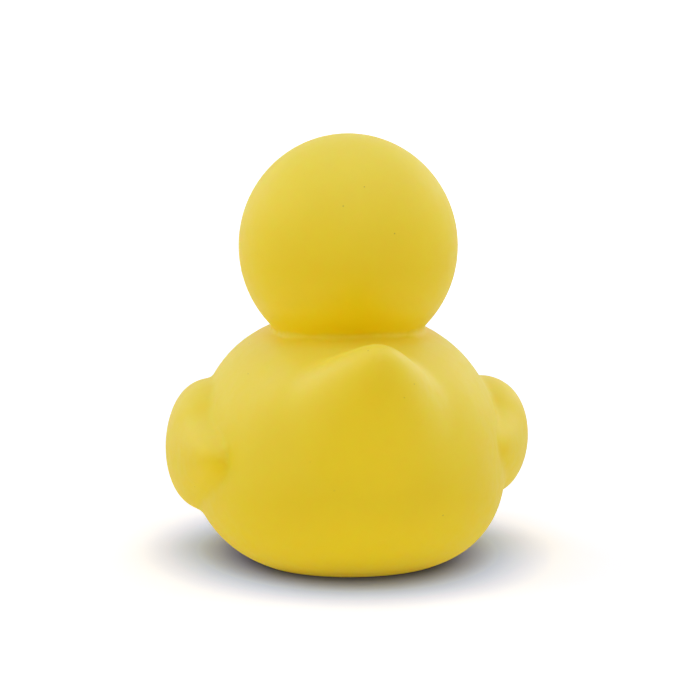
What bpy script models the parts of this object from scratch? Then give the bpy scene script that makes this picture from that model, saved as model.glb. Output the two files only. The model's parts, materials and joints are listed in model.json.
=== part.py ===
# Rubber duck: a hollow soft vinyl moulding with a two-piece squeaker in its base.
# Metres, +Z up. The duck stands on z = 0 and faces -Y, with its tail towards +Y.

import math

import bmesh
import bpy
from mathutils import Matrix, Vector

# Body: an egg that is flattened where it stands.
BODY_HALF_WIDTH = 0.0302
BODY_HALF_LENGTH = 0.0360
BODY_RISE = 0.0309
BODY_DROP = 0.0204
BODY_CENTRE = Vector((0.0, -0.0053, 0.0167))
BODY_FULLNESS = 2.23
BASE_EDGE_ROUNDING = 0.0028

# Head: nearly a ball, sunk into the top of the body.
HEAD_HALF_WIDTH = 0.0213
HEAD_HALF_LENGTH = 0.0220
HEAD_HALF_HEIGHT = 0.0218
HEAD_CENTRE = Vector((0.0, -0.0040, 0.0609))

# Tail: the back of the body drawn out broadly, and then up to a soft point.
RUMP_ROOT = Vector((0.0, 0.0279, 0.0305))
RUMP_MOVE = Vector((0.0, 0.0058, 0.0003))
RUMP_REACH = 0.0372
TAIL_ROOT = Vector((0.0, 0.0329, 0.0356))
TAIL_MOVE = Vector((0.0, 0.0091, 0.0127))
TAIL_REACH = 0.0176
TAIL_HOLLOW_SHARE = 0.55

# Wings: a lobe on each side, drawn back to a soft point. The root is measured from the lobe's centre.
WING_HALF_SIZE = Vector((0.0089, 0.0143, 0.0133))
WING_CENTRE = Vector((0.0267, -0.0077, 0.0207))
WING_LEAN = math.radians(5.0)
WING_ROOT = Vector((0.0012, 0.0152, -0.0028))
WING_MOVE = Vector((-0.0012, 0.0097, 0.0038))
WING_REACH = 0.0120

# Bill: a rounded upper scoop with a turned-up tip, and a shorter lower lip.
BILL_HALF_SIZE = Vector((0.0105, 0.0122, 0.0046))
BILL_CENTRE = Vector((0.0, -0.0262, 0.0573))
BILL_TIP_ROOT = Vector((0.0, -0.0384, 0.0573))
BILL_TIP_MOVE = Vector((0.0, -0.0006, 0.0022))
BILL_TIP_REACH = 0.0110
LIP_HALF_SIZE = Vector((0.0084, 0.0098, 0.0040))
LIP_CENTRE = Vector((0.0, -0.0253, 0.0529))

# Wall of the moulding.
WALL = 0.0021
BASE_WALL = 0.0030

# Squeaker hole in the base, with a recess for the squeaker's flange.
HOLE_CENTRE = Vector((0.0, -0.0053, 0.0))
HOLE_RADIUS = 0.0062
RECESS_RADIUS = 0.0086
RECESS_DEPTH = 0.0014
GAP = 0.0003
AIR_HOLE_RADIUS = 0.0012
PLASTIC_WALL = 0.0010
FLANGE_THICKNESS = 0.0007
SQUEAKER_HEIGHT = 0.0070
TURNED_STEPS = 32


def clear_scene():
    for old in list(bpy.data.objects):
        bpy.data.objects.remove(old, do_unlink=True)


def add_collection(name):
    collection = bpy.data.collections.new(name)
    bpy.context.scene.collection.children.link(collection)
    return collection


def plain_material(name, colour, roughness):
    material = bpy.data.materials.new(name)
    material.use_nodes = True
    shader = material.node_tree.nodes["Principled BSDF"]
    shader.inputs["Base Color"].default_value = (*colour, 1.0)
    shader.inputs["Roughness"].default_value = roughness
    shader.inputs["Metallic"].default_value = 0.0
    return material


def add_object(name, mesh, collection):
    piece = bpy.data.objects.new(name, mesh)
    collection.objects.link(piece)
    return piece


def mesh_from(name, bm):
    bmesh.ops.recalc_face_normals(bm, faces=bm.faces)
    mesh = bpy.data.meshes.new(name)
    bm.to_mesh(mesh)
    bm.free()
    return mesh


def egg(half_size, centre, segments, rings, drop=None, fullness=2.0):
    """A ball stretched to half_size; drop is its depth below centre, fullness above 2 squares it."""
    bm = bmesh.new()
    bmesh.ops.create_uvsphere(bm, u_segments=segments, v_segments=rings, radius=1.0)
    for vert in bm.verts:
        length = sum(abs(c) ** fullness for c in vert.co) ** (1.0 / fullness)
        point = vert.co / length
        depth = half_size.z if point.z > 0.0 or drop is None else drop
        vert.co = Vector((point.x * half_size.x, point.y * half_size.y, point.z * depth)) + centre
    return bm


def draw_out(bm, root, move, reach):
    """Moves the surface at root by move, fading smoothly to nothing at reach."""
    for vert in bm.verts:
        share = max(0.0, 1.0 - (vert.co - root).length / reach)
        vert.co += move * (3.0 * share**2 - 2.0 * share**3)


def flatten_base(bm, level):
    """Cuts the shape off at level, closes it with a flat face and rounds that face's rim."""
    everything = list(bm.verts) + list(bm.edges) + list(bm.faces)
    bmesh.ops.bisect_plane(
        bm, geom=everything, plane_co=(0.0, 0.0, level), plane_no=(0.0, 0.0, 1.0), clear_inner=True
    )
    rim = [edge for edge in bm.edges if edge.is_boundary]
    bmesh.ops.holes_fill(bm, edges=rim, sides=0)
    bmesh.ops.bevel(bm, geom=rim, offset=BASE_EDGE_ROUNDING, segments=3, profile=0.5, affect="EDGES")


def body_shape(wall, base_level, tail_share, segments, rings):
    """The body inset by wall, with tail_share of the tail's point."""
    half_size = Vector((BODY_HALF_WIDTH - wall, BODY_HALF_LENGTH - wall, BODY_RISE - wall))
    bm = egg(half_size, BODY_CENTRE, segments, rings, BODY_DROP - wall, BODY_FULLNESS)
    draw_out(bm, RUMP_ROOT, RUMP_MOVE, RUMP_REACH)
    draw_out(bm, TAIL_ROOT, TAIL_MOVE * tail_share, TAIL_REACH - wall)
    flatten_base(bm, base_level)
    return bm


def head_shape(wall, segments, rings):
    half_size = Vector((HEAD_HALF_WIDTH - wall, HEAD_HALF_LENGTH - wall, HEAD_HALF_HEIGHT - wall))
    return egg(half_size, HEAD_CENTRE, segments, rings)


def wing_shape(side):
    """One wing: side is 1 for the duck's left and -1 for its right."""
    bm = egg(WING_HALF_SIZE, Vector(), 28, 20)
    draw_out(bm, WING_ROOT, WING_MOVE, WING_REACH)
    place = Matrix.Translation(WING_CENTRE) @ Matrix.Rotation(WING_LEAN, 4, "Y")
    mirror = Matrix.Diagonal((side, 1.0, 1.0, 1.0))
    bmesh.ops.transform(bm, matrix=mirror @ place, verts=bm.verts)
    return bm


def bill_shape():
    bm = egg(BILL_HALF_SIZE, BILL_CENTRE, 24, 14)
    draw_out(bm, BILL_TIP_ROOT, BILL_TIP_MOVE, BILL_TIP_REACH)
    return bm


def cylinder(radius, low, high, centre):
    bm = bmesh.new()
    bmesh.ops.create_cone(
        bm, cap_ends=True, segments=TURNED_STEPS, radius1=radius, radius2=radius, depth=high - low
    )
    bmesh.ops.translate(bm, verts=bm.verts, vec=(centre.x, centre.y, (low + high) / 2.0))
    return bm


def combine(piece, operation, other):
    cut = piece.modifiers.new(f"{operation.lower()}_{other.name}", "BOOLEAN")
    cut.operation = operation
    cut.object = other
    cut.solver = "EXACT"


def duck_body(collection, cutters):
    outside = body_shape(0.0, 0.0, 1.0, 48, 32)
    body = add_object("duck_body", mesh_from("duck_body", outside), collection)
    joined = {
        "head": head_shape(0.0, 40, 28),
        "left_wing": wing_shape(1.0),
        "right_wing": wing_shape(-1.0),
        "bill": bill_shape(),
        "lip": egg(LIP_HALF_SIZE, LIP_CENTRE, 20, 12),
    }
    removed = {
        "body_hollow": body_shape(WALL, BASE_WALL, TAIL_HOLLOW_SHARE, 32, 22),
        "head_hollow": head_shape(WALL, 28, 20),
        "squeaker_hole": cylinder(HOLE_RADIUS, -BASE_WALL, 2.0 * BASE_WALL, HOLE_CENTRE),
        "squeaker_recess": cylinder(RECESS_RADIUS, -BASE_WALL, RECESS_DEPTH, HOLE_CENTRE),
    }
    for operation, shapes in (("UNION", joined), ("DIFFERENCE", removed)):
        for name, bm in shapes.items():
            helper = add_object(name, mesh_from(name, bm), cutters)
            helper.hide_render = True
            helper.display_type = "WIRE"
            helper.data.shade_smooth()
            combine(body, operation, helper)
    body.data.shade_smooth()
    return body


def turned(name, profile, collection):
    """Turns a closed (radius, height) profile about the squeaker's axis."""
    bm = bmesh.new()
    verts = [bm.verts.new((radius, 0.0, height)) for radius, height in profile]
    for index, vert in enumerate(verts):
        bm.edges.new((vert, verts[(index + 1) % len(verts)]))
    mesh = bpy.data.meshes.new(name)
    bm.to_mesh(mesh)
    bm.free()
    piece = add_object(name, mesh, collection)
    piece.location = HOLE_CENTRE
    screw = piece.modifiers.new("turn", "SCREW")
    screw.steps = TURNED_STEPS
    screw.render_steps = TURNED_STEPS
    screw.use_merge_vertices = True
    screw.merge_threshold = 0.00001
    return piece


def squeaker_cup(collection):
    flange = RECESS_RADIUS - GAP
    neck = HOLE_RADIUS - GAP
    bead = neck + 0.0008
    bore = neck - PLASTIC_WALL
    bottom = RECESS_DEPTH - GAP - FLANGE_THICKNESS
    bead_low = BASE_WALL + GAP
    profile = [
        (neck, SQUEAKER_HEIGHT),
        (neck, bead_low + 0.0012),
        (bead, bead_low + 0.0008),
        (bead, bead_low),
        (neck, bead_low),
        (neck, bottom + FLANGE_THICKNESS),
        (flange, bottom + FLANGE_THICKNESS),
        (flange, bottom),
        (AIR_HOLE_RADIUS, bottom),
        (AIR_HOLE_RADIUS, bottom + PLASTIC_WALL),
        (bore, bottom + PLASTIC_WALL),
        (bore, SQUEAKER_HEIGHT),
    ]
    return turned("squeaker_cup", profile, collection)


def squeaker_cap(collection):
    brim = HOLE_RADIUS - GAP
    skirt = brim - PLASTIC_WALL - GAP
    inside = skirt - 0.0008
    brim_low = SQUEAKER_HEIGHT + GAP
    brim_high = brim_low + FLANGE_THICKNESS
    plate_low = SQUEAKER_HEIGHT - 0.0028
    profile = [
        (brim, brim_high),
        (brim, brim_low),
        (skirt, brim_low),
        (skirt, plate_low),
        (AIR_HOLE_RADIUS, plate_low),
        (AIR_HOLE_RADIUS, plate_low + PLASTIC_WALL),
        (inside, plate_low + PLASTIC_WALL),
        (inside, brim_high),
    ]
    return turned("squeaker_cap", profile, collection)


def main():
    clear_scene()
    parts = add_collection("rubber_duck")
    cutters = add_collection("cutters")
    vinyl = plain_material("yellow_vinyl", (0.72, 0.55, 0.03), 0.5)
    plastic = plain_material("white_plastic", (0.82, 0.82, 0.78), 0.35)
    duck_body(parts, cutters).data.materials.append(vinyl)
    for piece in (squeaker_cup(parts), squeaker_cap(parts)):
        piece.data.materials.append(plastic)


main()
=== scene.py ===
# Squeaking bath duck on a white table: one soft vinyl moulding and the whistle in its base
import json
import math

import bmesh
import bpy
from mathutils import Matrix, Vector

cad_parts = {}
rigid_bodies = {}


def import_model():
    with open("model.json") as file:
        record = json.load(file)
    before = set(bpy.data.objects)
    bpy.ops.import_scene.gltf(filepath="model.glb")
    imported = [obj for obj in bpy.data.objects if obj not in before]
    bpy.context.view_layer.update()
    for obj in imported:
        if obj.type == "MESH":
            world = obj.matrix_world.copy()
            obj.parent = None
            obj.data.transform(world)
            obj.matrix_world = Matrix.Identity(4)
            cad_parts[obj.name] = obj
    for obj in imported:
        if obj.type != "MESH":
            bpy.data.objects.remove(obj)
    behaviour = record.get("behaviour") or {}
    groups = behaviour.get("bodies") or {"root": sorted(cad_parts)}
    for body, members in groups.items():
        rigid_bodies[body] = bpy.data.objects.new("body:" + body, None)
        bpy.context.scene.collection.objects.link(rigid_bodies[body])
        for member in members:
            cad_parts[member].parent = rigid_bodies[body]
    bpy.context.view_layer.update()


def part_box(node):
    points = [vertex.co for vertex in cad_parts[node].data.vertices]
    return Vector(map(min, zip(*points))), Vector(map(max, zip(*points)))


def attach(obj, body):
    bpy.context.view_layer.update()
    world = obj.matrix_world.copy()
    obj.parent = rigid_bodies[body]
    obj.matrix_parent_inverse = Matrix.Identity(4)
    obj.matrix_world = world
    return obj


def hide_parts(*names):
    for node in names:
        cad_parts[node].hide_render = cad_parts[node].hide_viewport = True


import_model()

low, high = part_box("squeaker_cup")
baseCentre = (round((low[0] + high[0]) / 2, 4), round((low[1] + high[1]) / 2, 4), 0)   # the squeaker's axis
hair = 0.00001      # metres: points closer than this are one point
trace = 0.000001    # metres: a point this near to a flat cut lies on it


# helpers for working as by hand

def makeActive(piece):
    if bpy.context.object and bpy.context.object.mode != 'OBJECT':
        bpy.ops.object.mode_set(mode='OBJECT')
    bpy.ops.object.select_all(action='DESELECT')
    piece.select_set(True)
    bpy.context.view_layer.objects.active = piece


def startEdit(piece):
    makeActive(piece)
    bpy.ops.object.mode_set(mode='EDIT')
    bpy.ops.mesh.select_all(action='SELECT')


def endEdit():
    bpy.ops.object.mode_set(mode='OBJECT')


def roundForm(name, cuts, roundness, levels):
    # a cube drawn towards a ball and subdivided: even quads, and no poles
    bpy.ops.object.select_all(action='DESELECT')
    bpy.ops.mesh.primitive_cube_add(size=0.02)      # sizeTo gives it its real size later
    piece = bpy.context.object
    piece.name = name
    startEdit(piece)
    bpy.ops.mesh.subdivide(number_cuts=cuts)
    bpy.ops.transform.tosphere(value=roundness)
    endEdit()
    applyModifier(piece, 'SUBSURF', levels=levels, render_levels=levels)
    return piece


def applyModifier(piece, kind, **settings):
    makeActive(piece)
    modifier = piece.modifiers.new('shape', kind)
    for key, value in settings.items():
        setattr(modifier, key, value)
    bpy.ops.object.modifier_apply(modifier=modifier.name)


def sizeTo(piece, size):
    # scales the whole mesh to the given width, length and height about the origin
    startEdit(piece)
    share = [wanted / now for wanted, now in zip(size, piece.dimensions)]
    bpy.ops.transform.resize(value=share, center_override=(0, 0, 0))
    endEdit()


def moveBy(piece, offset):
    startEdit(piece)
    bpy.ops.transform.translate(value=offset)
    endEdit()


def turnBy(piece, degrees, axis):
    startEdit(piece)
    bpy.ops.transform.rotate(value=-math.radians(degrees), orient_axis=axis, center_override=(0, 0, 0))
    endEdit()


def selectWhere(piece, test):
    # selects the vertices that pass the test, in edit mode
    edit = bmesh.from_edit_mesh(piece.data)
    for vert in edit.verts:
        vert.select = test(vert.co)
    edit.select_flush(True)
    edit.select_flush(False)
    bmesh.update_edit_mesh(piece.data)


def selectNearest(piece, at):
    # selects the one vertex nearest to a point, in edit mode
    bpy.ops.mesh.select_all(action='DESELECT')
    edit = bmesh.from_edit_mesh(piece.data)
    nearest = min(edit.verts, key=lambda vert: (vert.co - Vector(at)).length)
    nearest.select = True
    bmesh.update_edit_mesh(piece.data)


def keepSkin(piece, at):
    # keeps the skin that holds the given point, and drops the specks that remeshing shuts in
    startEdit(piece)
    selectNearest(piece, at)
    bpy.ops.mesh.select_linked()
    bpy.ops.mesh.select_all(action='INVERT')
    bpy.ops.mesh.delete(type='VERT')
    endEdit()


def pull(piece, at, by, reach):
    # takes hold of the vertex nearest to a point and draws the skin after it
    startEdit(piece)
    selectNearest(piece, at)
    bpy.ops.transform.translate(value=by, use_proportional_edit=True,
                                proportional_edit_falloff='SMOOTH', proportional_size=reach)
    endEdit()


def join(pieces):
    makeActive(pieces[0])
    for piece in pieces:
        piece.select_set(True)
    bpy.ops.object.join()
    return pieces[0]


def subtract(piece, cutter):
    applyModifier(piece, 'BOOLEAN', operation='DIFFERENCE', object=cutter, solver='EXACT')
    bpy.data.objects.remove(cutter, do_unlink=True)


def spinProfile(name, profile, centre, steps):
    # turns a closed outline of (radius, height) points about a vertical axis
    mesh = bpy.data.meshes.new(name)
    piece = bpy.data.objects.new(name, mesh)
    bpy.context.scene.collection.objects.link(piece)
    edges = [(index, (index + 1) % len(profile)) for index in range(len(profile))]
    mesh.from_pydata([(radius, 0, height) for radius, height in profile], edges, [])
    startEdit(piece)
    bpy.ops.mesh.spin(steps=steps, angle=2 * math.pi, center=(0, 0, 0), axis=(0, 0, 1))
    bpy.ops.mesh.select_all(action='SELECT')
    bpy.ops.mesh.remove_doubles(threshold=hair)
    bpy.ops.mesh.normals_make_consistent(inside=False)
    bpy.ops.transform.translate(value=centre)
    endEdit()
    return piece


# the moulding

body = {
    'size': (0.0611, 0.0720, 0.0618), 'centre': (0, -0.0053, 0.0167), 'roundness': 0.88,
    'dropShare': 0.66,           # depth below the widest level, as a share of the height above it
    'rumpAt': (0, 0.0279, 0.0305), 'rumpBy': (0, 0.0058, 0.0003), 'rumpReach': 0.0372,
    'tailAt': (0, 0.0302, 0.0356), 'tailBy': (0, 0.0094, 0.0114), 'tailReach': 0.0176,
    'flankAt': (0.0135, 0.0240, 0.0360), 'flankBy': (0, 0.0006, 0.0015), 'flankReach': 0.0130,
    'baseRound': 0.0028, 'baseSteps': 6,
    'baseTrim': 0.0004,          # the base is made this much too deep, then cut flat
}
head = {'size': (0.0426, 0.0440, 0.0436), 'centre': (0, -0.0040, 0.0609)}
# the two sides differ a little, as soft mouldings do; toe turns the back of a wing in, lean its top out
wing = {
    'left': {
        'size': (0.0176, 0.0298, 0.0260), 'centre': (0.0266, -0.0090, 0.0213), 'toe': -2.0, 'lean': -3.5,
        'tipAt': (0.0012, 0.0149, -0.0028), 'tipBy': (-0.0010, 0.0106, 0.0041), 'tipReach': 0.0125,
    },
    'right': {
        'size': (0.0190, 0.0270, 0.0240), 'centre': (0.0271, -0.0090, 0.0215), 'toe': 6.5, 'lean': 3.5,
        'tipAt': (0.0012, 0.0131, -0.0028), 'tipBy': (-0.0008, 0.0096, 0.0042), 'tipReach': 0.0125,
    },
}
bill = {
    'size': (0.0210, 0.0244, 0.0092), 'centre': (0, -0.0262, 0.0573),
    'tipAt': (0, -0.0384, 0.0573), 'tipBy': (0, -0.0006, 0.0022), 'tipReach': 0.0110,
    'lipSize': (0.0168, 0.0196, 0.0080), 'lipCentre': (0, -0.0253, 0.0529),
}
wall = {'side': 0.0021, 'base': 0.0030, 'tailShare': 0.55}
hole = {
    'centre': baseCentre, 'radius': 0.0062, 'recess': 0.0086, 'depth': 0.0014, 'chamfer': 0.0003,
    'steps': 96,
}
finish = {'voxel': 0.00059, 'smoothing': 6, 'largeLevels': 5, 'smallLevels': 4, 'sharpAngle': 40}
# the stretch of the neck's crease that is softened a little more, behind the head
nape = {'low': 0.0445, 'high': 0.0492, 'front': 0.002, 'back': 0.017, 'rounds': 2}


def makeBody(inset, baseLevel, tailShare, levels):
    piece = roundForm('body', 1, body['roundness'], levels)
    sizeTo(piece, [side - 2 * inset for side in body['size']])
    startEdit(piece)
    selectWhere(piece, lambda co: co.z < -hair)
    drop = (body['size'][2] / 2 * body['dropShare'] - inset) / (body['size'][2] / 2 - inset)
    bpy.ops.transform.resize(value=(1, 1, drop), center_override=(0, 0, 0))
    endEdit()
    moveBy(piece, body['centre'])
    pull(piece, body['rumpAt'], body['rumpBy'], body['rumpReach'])
    pull(piece, body['flankAt'], body['flankBy'], body['flankReach'])
    tailBy = [step * tailShare for step in body['tailBy']]
    pull(piece, body['tailAt'], tailBy, body['tailReach'] - inset)
    startEdit(piece)
    bpy.ops.mesh.bisect(plane_co=(0, 0, baseLevel), plane_no=(0, 0, 1), use_fill=True, clear_inner=True)
    selectWhere(piece, lambda co: co.z < baseLevel + trace)
    bpy.ops.mesh.bevel(offset=body['baseRound'], segments=body['baseSteps'], affect='EDGES')
    endEdit()
    return piece


def makeHead(inset, levels):
    piece = roundForm('head', 1, 1, levels)
    startEdit(piece)
    bpy.ops.transform.tosphere(value=1)
    endEdit()
    sizeTo(piece, [side - 2 * inset for side in head['size']])
    moveBy(piece, head['centre'])
    return piece


def makeWing(side):
    shape = wing[side]
    piece = roundForm('wing', 1, 1, finish['smallLevels'])
    sizeTo(piece, shape['size'])
    pull(piece, shape['tipAt'], shape['tipBy'], shape['tipReach'])
    turnBy(piece, shape['toe'], 'Z')
    turnBy(piece, shape['lean'], 'Y')
    moveBy(piece, shape['centre'])
    if side == 'right':
        startEdit(piece)
        bpy.ops.transform.resize(value=(-1, 1, 1), center_override=(0, 0, 0))
        bpy.ops.mesh.normals_make_consistent(inside=False)
        endEdit()
    return piece


def makeBill():
    upper = roundForm('bill', 1, 1, finish['smallLevels'])
    sizeTo(upper, bill['size'])
    moveBy(upper, bill['centre'])
    pull(upper, bill['tipAt'], bill['tipBy'], bill['tipReach'])
    lower = roundForm('lip', 1, 1, finish['smallLevels'])
    sizeTo(lower, bill['lipSize'])
    moveBy(lower, bill['lipCentre'])
    return [upper, lower]


def makeDuck():
    headTop = (0, head['centre'][1], head['centre'][2] + head['size'][2] / 2)
    large = finish['largeLevels']
    small = finish['smallLevels']
    forms = [makeBody(0, -body['baseTrim'], 1, large), makeHead(0, large)]
    skin = join(forms + [makeWing('left'), makeWing('right')] + makeBill())
    skin.name = 'duckVinyl'
    applyModifier(skin, 'REMESH', mode='VOXEL', voxel_size=finish['voxel'])
    applyModifier(skin, 'SMOOTH', factor=0.5, iterations=finish['smoothing'])
    keepSkin(skin, headTop)
    startEdit(skin)
    selectWhere(skin, lambda co: nape['low'] < co.z < nape['high'] and nape['front'] < co.y < nape['back'])
    bpy.ops.mesh.vertices_smooth(factor=0.5, repeat=nape['rounds'])
    bpy.ops.mesh.select_all(action='SELECT')
    bpy.ops.mesh.bisect(plane_co=(0, 0, 0), plane_no=(0, 0, 1), use_fill=True, clear_inner=True,
                        threshold=trace)
    endEdit()
    side = wall['side']
    hollow = join([makeBody(side, wall['base'], wall['tailShare'], small), makeHead(side, small)])
    applyModifier(hollow, 'REMESH', mode='VOXEL', voxel_size=2 * finish['voxel'])
    applyModifier(hollow, 'SMOOTH', factor=0.5, iterations=finish['smoothing'] // 2)
    keepSkin(hollow, headTop)
    subtract(skin, hollow)
    edge = hole['recess'] + hole['chamfer']
    top = 2 * wall['base']
    outline = [(0, -hole['depth']), (edge, -hole['depth']), (edge, 0),
               (hole['recess'], hole['chamfer']), (hole['recess'], hole['depth']),
               (hole['radius'], hole['depth']), (hole['radius'], top), (0, top)]
    subtract(skin, spinProfile('squeakerHole', outline, hole['centre'], hole['steps']))
    makeActive(skin)
    bpy.ops.object.shade_smooth_by_angle(angle=math.radians(finish['sharpAngle']))
    return skin


duckVinyl = makeDuck()
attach(duckVinyl, "root")
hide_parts("duck_body")
print('duck moulded:', len(duckVinyl.data.polygons), 'faces')


# the squeaker: a cup pressed into the hole and a cap pressed into the cup; the outlines are (radius, height)

cup = {
    'neck': 0.0059, 'flange': 0.0083, 'bead': 0.0067, 'bore': 0.0049, 'airHole': 0.0012,
    'bottom': 0.0004, 'flangeThick': 0.0007, 'floorThick': 0.0010, 'height': 0.0070,
    'beadLow': 0.0033, 'beadFlat': 0.0008, 'beadTall': 0.0012,
}
cap = {
    'brim': 0.0059, 'brimLow': 0.0073, 'brimHigh': 0.0080, 'skirt': 0.0046, 'inside': 0.0038,
    'plateLow': 0.0042, 'plateThick': 0.0010, 'airHole': 0.0012,
}
plasticEdge = {'round': 0.00016, 'segments': 2, 'steps': 96, 'roundAngle': 40, 'sharpAngle': 50}


def makeSqueakerPiece(name, outline):
    piece = spinProfile(name, outline, hole['centre'], plasticEdge['steps'])
    applyModifier(piece, 'BEVEL', width=plasticEdge['round'], segments=plasticEdge['segments'],
                  limit_method='ANGLE', angle_limit=math.radians(plasticEdge['roundAngle']))
    makeActive(piece)
    bpy.ops.object.shade_smooth_by_angle(angle=math.radians(plasticEdge['sharpAngle']))
    return piece


def makeCup():
    c = cup
    low = c['bottom'] + c['flangeThick']
    floorTop = c['bottom'] + c['floorThick']
    bead = c['beadLow']
    return makeSqueakerPiece('squeakerCup', [
        (c['neck'], c['height']), (c['neck'], bead + c['beadTall']), (c['bead'], bead + c['beadFlat']),
        (c['bead'], bead), (c['neck'], bead), (c['neck'], low), (c['flange'], low),
        (c['flange'], c['bottom']), (c['airHole'], c['bottom']), (c['airHole'], floorTop),
        (c['bore'], floorTop), (c['bore'], c['height'])])


def makeCap():
    c = cap
    plateTop = c['plateLow'] + c['plateThick']
    return makeSqueakerPiece('squeakerCap', [
        (c['brim'], c['brimHigh']), (c['brim'], c['brimLow']), (c['skirt'], c['brimLow']),
        (c['skirt'], c['plateLow']), (c['airHole'], c['plateLow']), (c['airHole'], plateTop),
        (c['inside'], plateTop), (c['inside'], c['brimHigh'])])


squeakerCup = makeCup()
squeakerCap = makeCap()
for piece, node in ((squeakerCup, "squeaker_cup"), (squeakerCap, "squeaker_cap")):
    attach(piece, "root")
    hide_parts(node)
print('squeaker turned:', len(squeakerCup.data.polygons) + len(squeakerCap.data.polygons), 'faces')


# finishes

def addNode(tree, kind, **settings):
    family = 'Node' if kind in ('GroupInput', 'GroupOutput') else 'ShaderNode'
    node = tree.nodes.new(family + kind)
    for key, value in settings.items():
        if key in node.inputs:
            node.inputs[key].default_value = value
        else:
            setattr(node, key, value)
    return node


def mapRange(tree, source, fromMin, fromMax, toMin=0.0, toMax=1.0):
    node = addNode(tree, 'MapRange')
    for key, value in (('From Min', fromMin), ('From Max', fromMax), ('To Min', toMin), ('To Max', toMax)):
        node.inputs[key].default_value = value
    tree.links.new(source, node.inputs['Value'])
    return node.outputs['Result']


def calculate(tree, operation, first, second):
    node = addNode(tree, 'Math', operation=operation)
    for socket, value in zip(node.inputs, (first, second)):
        if isinstance(value, (int, float)):
            socket.default_value = value
        else:
            tree.links.new(value, socket)
    return node.outputs['Value']


def mixColour(tree, mask, under, over):
    node = addNode(tree, 'Mix', data_type='RGBA')
    for socket, value in ((node.inputs[0], mask), (node.inputs[6], under), (node.inputs[7], over)):
        if isinstance(value, tuple):
            socket.default_value = (*value, 1)
        elif isinstance(value, (int, float)):
            socket.default_value = value
        else:
            tree.links.new(value, socket)
    return node.outputs[2]


skinTexture = {
    'cloudEdges': (0.38, 0.68), 'glossScale': 420.0, 'glossEdges': (0.3, 0.7), 'peelDepth': 0.00004,
}


def makeMouldedSkin():
    # cloudy colour, uneven gloss and the fine orange peel that a mould leaves
    group = bpy.data.node_groups.new('mouldedSkin', 'ShaderNodeTree')
    for name in ('Colour', 'Cloud Colour'):
        group.interface.new_socket(name=name, in_out='INPUT', socket_type='NodeSocketColor')
    for name in ('Cloud Scale', 'Cloud Share', 'Gloss Low', 'Gloss High', 'Peel Scale', 'Peel Strength'):
        group.interface.new_socket(name=name, in_out='INPUT', socket_type='NodeSocketFloat')
    for name, kind in (('Colour', 'Color'), ('Roughness', 'Float'), ('Normal', 'Vector')):
        group.interface.new_socket(name=name, in_out='OUTPUT', socket_type='NodeSocket' + kind)
    given = addNode(group, 'GroupInput')
    place = addNode(group, 'TexCoord')
    cloud = addNode(group, 'TexNoise', Detail=3.0, Roughness=0.55)
    gloss = addNode(group, 'TexNoise', Scale=skinTexture['glossScale'], Detail=4.0, Roughness=0.6)
    peel = addNode(group, 'TexNoise', Detail=2.0, Roughness=0.5)
    for texture in (cloud, gloss, peel):
        group.links.new(place.outputs['Object'], texture.inputs['Vector'])
    group.links.new(given.outputs['Cloud Scale'], cloud.inputs['Scale'])
    group.links.new(given.outputs['Peel Scale'], peel.inputs['Scale'])
    patch = mapRange(group, cloud.outputs['Fac'], *skinTexture['cloudEdges'])
    share = calculate(group, 'MULTIPLY', patch, given.outputs['Cloud Share'])
    colour = mixColour(group, share, given.outputs['Colour'], given.outputs['Cloud Colour'])
    shine = addNode(group, 'MapRange')
    shine.inputs['From Min'].default_value, shine.inputs['From Max'].default_value = skinTexture['glossEdges']
    group.links.new(gloss.outputs['Fac'], shine.inputs['Value'])
    group.links.new(given.outputs['Gloss Low'], shine.inputs['To Min'])
    group.links.new(given.outputs['Gloss High'], shine.inputs['To Max'])
    bump = addNode(group, 'Bump', Distance=skinTexture['peelDepth'])
    group.links.new(peel.outputs['Fac'], bump.inputs['Height'])
    group.links.new(given.outputs['Peel Strength'], bump.inputs['Strength'])
    out = addNode(group, 'GroupOutput')
    group.links.new(colour, out.inputs['Colour'])
    group.links.new(shine.outputs['Result'], out.inputs['Roughness'])
    group.links.new(bump.outputs['Normal'], out.inputs['Normal'])
    return group


def addSkin(tree, skinGroup, colour, cloudColour, values):
    skin = addNode(tree, 'Group', node_tree=skinGroup)
    skin.inputs['Colour'].default_value = (*colour, 1)
    skin.inputs['Cloud Colour'].default_value = (*cloudColour, 1)
    for socket, key in (('Cloud Scale', 'cloudScale'), ('Cloud Share', 'cloudShare'),
                        ('Gloss Low', 'glossLow'), ('Gloss High', 'glossHigh'),
                        ('Peel Scale', 'peelScale'), ('Peel Strength', 'peelStrength')):
        skin.inputs[socket].default_value = values[key]
    return skin


vinylFinish = {
    'yellow': (0.89, 0.665, 0.002), 'cloudYellow': (0.87, 0.615, 0.003),
    'cloudScale': 55.0, 'cloudShare': 0.5,
    'glossLow': 0.44, 'glossHigh': 0.56, 'peelScale': 1500.0, 'peelStrength': 0.12,
    # painted light and shade: paler on the upper faces and deeper on the lower ones, by how far they face up
    'paintedTopLight': (0.88, 0.80, 0.17), 'paintedTopLightShare': 0.38, 'paintedTopLightFacing': (-0.1, 1.0),
    'paintedUnderShade': (1.0, 0.74, 0.0005), 'paintedUnderShadeShare': 0.7, 'paintedUnderShadeFacing': (-0.1, -0.9),
    # painted shade in the neck's crease: how far out from the head, in shares of its radius, and below which
    # height
    'paintedCreaseShade': (0.97, 0.70, 0.0005), 'paintedCreaseShadeShare': 0.9,
    'creaseReach': (1.005, 1.20), 'creaseHeight': (0.0520, 0.0468),
    'speck': (0.30, 0.20, 0.03), 'speckScale': 190.0, 'speckEdges': (0.021, 0.030), 'speckShare': 0.55,
    'orange': (0.90, 0.19, 0.004), 'eyeBlack': (0.012, 0.011, 0.011), 'eyeWhite': (0.86, 0.86, 0.84),
    'paintRoughness': 0.30, 'specular': 0.33,
    'glow': 0.6, 'glowReach': (1.0, 0.35, 0.05), 'glowDepth': 0.0014,   # light carried through the vinyl
}
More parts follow.
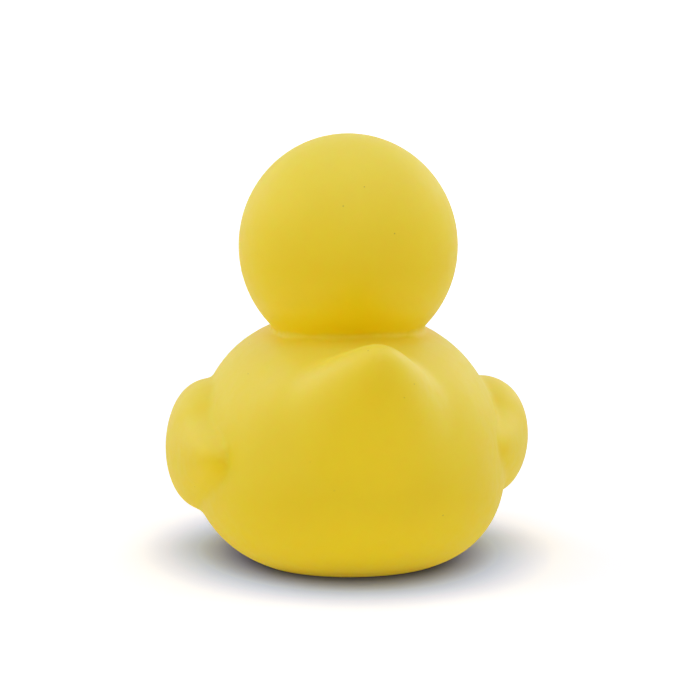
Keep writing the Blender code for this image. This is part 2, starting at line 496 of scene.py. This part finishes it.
paint = {
    'billEdges': (1.030, 1.040), 'billBack': -0.0180, 'billLow': 0.0478,
    'eye': (0.0086, 0.0662), 'eyeSize': (0.0021, 0.0028), 'eyeSoft': 0.05,
    'glint': (-0.0005, 0.0009), 'glintSize': (0.0006, 0.0006), 'glintSoft': 0.12,
}


def ovalMask(tree, across, up, centre, size, edge):
    # 1 inside an upright oval drawn on the front of the head, 0 outside
    x = calculate(tree, 'DIVIDE', calculate(tree, 'SUBTRACT', across, centre[0]), size[0])
    z = calculate(tree, 'DIVIDE', calculate(tree, 'SUBTRACT', up, centre[1]), size[1])
    far = calculate(tree, 'SQRT', calculate(tree, 'ADD', calculate(tree, 'MULTIPLY', x, x),
                                            calculate(tree, 'MULTIPLY', z, z)), 0)
    return mapRange(tree, far, 1 - edge, 1 + edge, 1.0, 0.0)


def makeVinyl(skinGroup):
    v = vinylFinish
    material = bpy.data.materials.new('duckVinyl')
    material.use_nodes = True
    tree = material.node_tree
    shader = tree.nodes['Principled BSDF']
    place = addNode(tree, 'TexCoord').outputs['Object']
    skin = addSkin(tree, skinGroup, v['yellow'], v['cloudYellow'], v)
    # painted light and shade: paler where the skin faces up, deeper where it faces down
    facing = addNode(tree, 'SeparateXYZ')
    tree.links.new(addNode(tree, 'NewGeometry').outputs['Normal'], facing.inputs['Vector'])
    paintedTopLight = mapRange(tree, facing.outputs['Z'], *v['paintedTopLightFacing'], 0.0, v['paintedTopLightShare'])
    colour = mixColour(tree, paintedTopLight, skin.outputs['Colour'], v['paintedTopLight'])
    under = mapRange(tree, facing.outputs['Z'], *v['paintedUnderShadeFacing'], 0.0, v['paintedUnderShadeShare'])
    colour = mixColour(tree, under, colour, v['paintedUnderShade'])
    # a few pin-head specks in the vinyl
    cells = addNode(tree, 'TexVoronoi', Scale=v['speckScale'])
    tree.links.new(place, cells.inputs['Vector'])
    speck = mapRange(tree, cells.outputs['Distance'], *v['speckEdges'], v['speckShare'], 0.0)
    colour = mixColour(tree, speck, colour, v['speck'])
    # painted shade: a deeper, warmer yellow in the crease round the neck
    split = addNode(tree, 'SeparateXYZ')
    tree.links.new(place, split.inputs['Vector'])
    across, along, up = split.outputs
    fromHead = addNode(tree, 'Mapping', vector_type='TEXTURE', Location=head['centre'],
                       Scale=tuple(side / 2 for side in head['size']))
    tree.links.new(place, fromHead.inputs['Vector'])
    off = addNode(tree, 'VectorMath', operation='LENGTH')
    tree.links.new(fromHead.outputs['Vector'], off.inputs[0])
    crease = mapRange(tree, off.outputs['Value'], *v['creaseReach'], 1.0, 0.0)
    crease = calculate(tree, 'MULTIPLY', crease, mapRange(tree, up, *v['creaseHeight']))
    crease = calculate(tree, 'MULTIPLY', crease, v['paintedCreaseShadeShare'])
    colour = mixColour(tree, crease, colour, v['paintedCreaseShade'])
    # the bill's paint begins just off the round of the head
    bill = mapRange(tree, off.outputs['Value'], *paint['billEdges'])
    bill = calculate(tree, 'MULTIPLY', bill, calculate(tree, 'LESS_THAN', along, paint['billBack']))
    bill = calculate(tree, 'MULTIPLY', bill, calculate(tree, 'GREATER_THAN', up, paint['billLow']))
    colour = mixColour(tree, bill, colour, v['orange'])
    # two eyes, each an oval with a small white glint
    side = calculate(tree, 'ABSOLUTE', across, 0)
    front = calculate(tree, 'LESS_THAN', along, paint['billBack'])
    eye = ovalMask(tree, side, up, paint['eye'], paint['eyeSize'], paint['eyeSoft'])
    eye = calculate(tree, 'MULTIPLY', eye, front)
    glintPlace = [centre + offset for centre, offset in zip(paint['eye'], paint['glint'])]
    glint = ovalMask(tree, side, up, glintPlace, paint['glintSize'], paint['glintSoft'])
    colour = mixColour(tree, eye, colour, mixColour(tree, glint, v['eyeBlack'], v['eyeWhite']))
    painted = calculate(tree, 'MAXIMUM', bill, eye)
    rough = addNode(tree, 'Mix', data_type='FLOAT')
    tree.links.new(painted, rough.inputs[0])
    tree.links.new(skin.outputs['Roughness'], rough.inputs[2])
    rough.inputs[3].default_value = v['paintRoughness']
    tree.links.new(colour, shader.inputs['Base Color'])
    tree.links.new(rough.outputs[0], shader.inputs['Roughness'])
    tree.links.new(skin.outputs['Normal'], shader.inputs['Normal'])
    shader.inputs['Specular IOR Level'].default_value = v['specular']
    shader.inputs['Subsurface Weight'].default_value = v['glow']
    shader.inputs['Subsurface Radius'].default_value = v['glowReach']
    shader.inputs['Subsurface Scale'].default_value = v['glowDepth']
    return material


plasticFinish = {
    'white': (0.80, 0.80, 0.77), 'cloudWhite': (0.72, 0.71, 0.66), 'cloudScale': 260.0, 'cloudShare': 0.5,
    'glossLow': 0.28, 'glossHigh': 0.42, 'peelScale': 2600.0, 'peelStrength': 0.10,
}


def makePlastic(skinGroup):
    p = plasticFinish
    material = bpy.data.materials.new('squeakerPlastic')
    material.use_nodes = True
    tree = material.node_tree
    skin = addSkin(tree, skinGroup, p['white'], p['cloudWhite'], p)
    for output, socket in (('Colour', 'Base Color'), ('Roughness', 'Roughness'), ('Normal', 'Normal')):
        tree.links.new(skin.outputs[output], tree.nodes['Principled BSDF'].inputs[socket])
    return material


def coat(piece, material):
    piece.data.materials.clear()
    piece.data.materials.append(material)


mouldedSkin = makeMouldedSkin()
vinyl = makeVinyl(mouldedSkin)
coat(duckVinyl, vinyl)
plastic = makePlastic(mouldedSkin)
coat(squeakerCup, plastic)
coat(squeakerCap, plastic)
print('finishes made:', vinyl.name, 'and', plastic.name)


# camera, light and table

look = {
    'azimuth': 172, 'elevation': 10, 'distance': 0.7, 'target': (0.0002, 0, 0.041),
    'viewWidth': 0.1358, 'near': 0.01,
}


def makeCamera():
    a = math.radians(look['azimuth'])
    e = math.radians(look['elevation'])
    back = Vector((math.sin(a) * math.cos(e), -math.cos(a) * math.cos(e), math.sin(e)))
    camera = bpy.data.cameras.new('camera')
    camera.lens = camera.sensor_width * look['distance'] / look['viewWidth']
    camera.clip_start = look['near']
    holder = bpy.data.objects.new('camera', camera)
    holder.location = Vector(look['target']) + back * look['distance']
    holder.rotation_euler = (-back).to_track_quat('-Z', 'Y').to_euler()
    bpy.context.scene.collection.objects.link(holder)
    bpy.context.scene.camera = holder


makeCamera()
bpy.context.scene.view_settings.view_transform = 'Standard'

lampAim = (0, 0, 0.035)
# soft boxes round and above the table: place, side in metres, and power in watts
lamps = {
    'overhead': ((0, 0, 1.2), 1.2, 3.8),
    'overheadTail': ((0, 0.9, 0.9), 0.8, 1.5),
    'left': ((0.9, 0, 0.7), 0.7, 1.7),
    'right': ((-0.9, 0, 0.7), 0.7, 1.28),
    'leftFace': ((0.85, -0.85, 0.5), 0.6, 1.1),
    'rightFace': ((-0.85, -0.85, 0.5), 0.6, 1.1),
}
# how bright the white room is as light, and as looked at or reflected
surround = {'light': 0.41, 'seen': 1.0}


def makeLamps():
    for name, (place, side, power) in lamps.items():
        lamp = bpy.data.lights.new(name, 'AREA')
        lamp.size = side
        lamp.energy = power
        holder = bpy.data.objects.new(name, lamp)
        holder.location = place
        holder.rotation_euler = (Vector(lampAim) - Vector(place)).to_track_quat('-Z', 'Y').to_euler()
        bpy.context.scene.collection.objects.link(holder)


def makeSurround():
    world = bpy.data.worlds.new('studio')
    bpy.context.scene.world = world
    world.use_nodes = True
    tree = world.node_tree
    path = addNode(tree, 'LightPath')
    seen = calculate(tree, 'MAXIMUM', path.outputs['Is Camera Ray'], path.outputs['Is Glossy Ray'])
    strength = mapRange(tree, seen, 0.0, 1.0, surround['light'], surround['seen'])
    room = tree.nodes['Background']
    room.inputs['Color'].default_value = (1, 1, 1, 1)
    tree.links.new(strength, room.inputs['Strength'])


makeLamps()
makeSurround()
print('studio lit:', len(lamps), 'lamps')

table = {
    'side': 8.0, 'roughness': 0.8, 'white': (0.97, 0.97, 0.97),
    # as looked at: evenly white, but painted darker and cooler by the duck, a painted shadow that also
    # offsets the yellow light it casts there, and a painted contact shadow dark at its foot
    'seen': (1.27, 1.29, 1.45), 'seenNearPaintedShadow': (0.73, 0.87, 1.41), 'paintedContactShadow': (0.02, 0.03, 0.58),
    'centre': baseCentre, 'foot': (0.0193, 0.0228, 1),
    'paintedContactShadowEdges': (0.92, 1.52), 'nearEdge': 1.55, 'farEdge': 2.13,
    'glow': 0.6, 'glowFrom': 0.15, 'glowTo': 1.2, 'glowBelow': 0.09,
}


def makeTable():
    bpy.ops.object.select_all(action='DESELECT')
    bpy.ops.mesh.primitive_plane_add(size=table['side'])
    top = bpy.context.object
    top.name = 'table'
    material = bpy.data.materials.new('lightTable')
    material.use_nodes = True
    tree = material.node_tree
    shader = tree.nodes['Principled BSDF']
    place = addNode(tree, 'TexCoord').outputs['Object']
    looked = addNode(tree, 'LightPath').outputs['Is Camera Ray']
    fromFoot = addNode(tree, 'Mapping', vector_type='TEXTURE', Location=table['centre'],
                       Scale=table['foot'])
    tree.links.new(place, fromFoot.inputs['Vector'])
    away = addNode(tree, 'VectorMath', operation='LENGTH')
    tree.links.new(fromFoot.outputs['Vector'], away.inputs[0])
    # painted shadow on the table: darker and cooler near the duck and darkest at its foot, for camera rays
    # only
    far = mapRange(tree, away.outputs['Value'], table['nearEdge'], table['farEdge'])
    seen = mixColour(tree, far, table['seenNearPaintedShadow'], table['seen'])
    close = mapRange(tree, away.outputs['Value'], *table['paintedContactShadowEdges'])
    seen = mixColour(tree, close, table['paintedContactShadow'], seen)
    tree.links.new(mixColour(tree, looked, table['white'], seen), shader.inputs['Base Color'])
    distance = addNode(tree, 'VectorMath', operation='LENGTH')
    tree.links.new(place, distance.inputs[0])
    glow = mapRange(tree, distance.outputs['Value'], table['glowFrom'], table['glowTo'], 0.0, table['glow'])
    below = mapRange(tree, looked, 0.0, 1.0, table['glowBelow'], 0.0)
    shader.inputs['Emission Color'].default_value = (1, 1, 1, 1)
    tree.links.new(calculate(tree, 'ADD', glow, below), shader.inputs['Emission Strength'])
    shader.inputs['Roughness'].default_value = table['roughness']
    shader.inputs['Specular IOR Level'].default_value = 0.0
    coat(top, material)


makeTable()
print('table laid')
